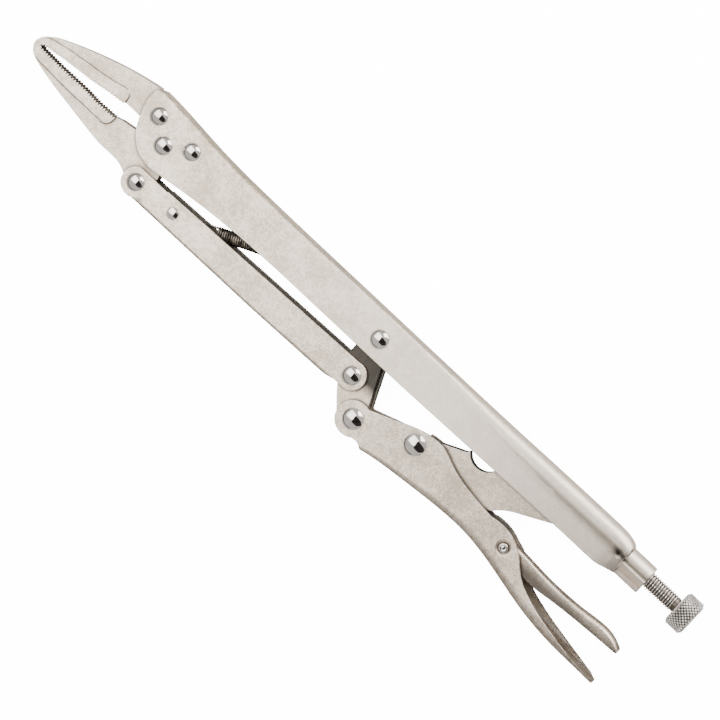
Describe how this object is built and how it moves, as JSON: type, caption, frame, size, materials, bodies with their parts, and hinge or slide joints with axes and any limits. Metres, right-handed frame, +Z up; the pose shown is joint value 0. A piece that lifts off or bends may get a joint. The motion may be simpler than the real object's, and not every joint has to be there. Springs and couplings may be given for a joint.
{
  "type": "long-nose locking plier",
  "caption": "Long-reach locking plier: toothed needle-nose jaws, pressed-steel main handle, linked toggle lever, trip lever and knurled adjusting screw.",
  "frame": {"origin": "centre of the tool's length and width, on the surface that it lies on", "axes": "+X along the tool from the jaw tips to the adjusting knob, +Y towards the back of the main handle, +Z up along the rivets, out of the side with the domed heads"},
  "size_m": [0.3802, 0.0616, 0.017],
  "materials": {
    "satin_nickel": "satin nickel plate over pressed steel",
    "jaw_nickel": "satin nickel plate over a forging",
    "bright_nickel": "bright nickel plate, polished",
    "screw_nickel": "bright nickel plate on a rolled thread and a knurl",
    "dark_spring": "dark oiled spring steel"
  },
  "bodies": {
    "handle": {"fixed_handle": "satin_nickel", "fixed_jaw": "jaw_nickel", "jaw_rivet_front": "bright_nickel", "jaw_rivet_rear": "bright_nickel", "jaw_pivot_rivet": "bright_nickel", "rocker_pivot_rivet": "bright_nickel", "return_spring": "dark_spring"},
    "jaw": {"moving_jaw": "jaw_nickel", "jaw_link_rivet": "bright_nickel"},
    "link": {"link_channel": "satin_nickel", "spring_pin": "bright_nickel"},
    "rocker": {"rocker": "jaw_nickel", "rocker_link_rivet": "bright_nickel", "lever_pivot_rivet": "bright_nickel"},
    "lever": {"lever_handle": "satin_nickel", "toggle_rivet": "bright_nickel", "release_rivet": "bright_nickel"},
    "toggle": {"toggle_link": "jaw_nickel"},
    "release": {"release_lever": "satin_nickel"},
    "screw": {"screw_rod": "screw_nickel"},
    "knob": {"knurled_knob": "screw_nickel"}
  },
  "joints": [
    {"name": "jaw_pivot", "type": "hinge", "parent": "handle", "child": "jaw", "pos_m": [-0.11715, 0.01325, 0.0085], "axis": [0, 0, 1], "range_deg": [0, 24], "deforming": ["return_spring"]},
    {"name": "jaw_link_pivot", "type": "hinge", "parent": "jaw", "child": "link", "pos_m": [-0.11555, -0.00665, 0.0085], "axis": [0, 0, 1], "range_deg": [-24, 0]},
    {"name": "rocker_pivot", "type": "hinge", "parent": "handle", "child": "rocker", "pos_m": [0.00945, 0.01625, 0.0085], "axis": [0, 0, 1], "range_deg": [0, 24]},
    {"name": "lever_pivot", "type": "hinge", "parent": "rocker", "child": "lever", "pos_m": [0.02415, -0.01715, 0.0085], "axis": [0, 0, 1], "range_deg": [-86.4, 0]},
    {"name": "toggle_pivot", "type": "hinge", "parent": "lever", "child": "toggle", "pos_m": [0.05155, -0.00675, 0.0085], "axis": [0, 0, 1], "range_deg": [0, 80.4]},
    {"name": "release_pivot", "type": "hinge", "parent": "lever", "child": "release", "pos_m": [0.10965, -0.01315, 0.0085], "axis": [0, 0, 1], "range_deg": [-8, 0]},
    {"name": "screw_slide", "type": "slide", "parent": "handle", "child": "screw", "axis": [1, 0, 0], "range_m": [0, 0.02]},
    {"name": "knob_turn", "type": "hinge", "parent": "screw", "child": "knob", "pos_m": [0.18485, 0.01905, 0.0085], "axis": [1, 0, 0], "range_deg": [0, 5760]}
  ],
  "couplings": [
    {"joint": "jaw_link_pivot", "follows": "jaw_pivot", "ratio": -1},
    {"joint": "rocker_pivot", "follows": "jaw_pivot", "ratio": 1},
    {"joint": "lever_pivot", "follows": "jaw_pivot", "ratio": -3.6},
    {"joint": "toggle_pivot", "follows": "jaw_pivot", "ratio": 3.35},
    {"joint": "knob_turn", "follows": "screw_slide", "rad_per_m": 5026.5}
  ]
}
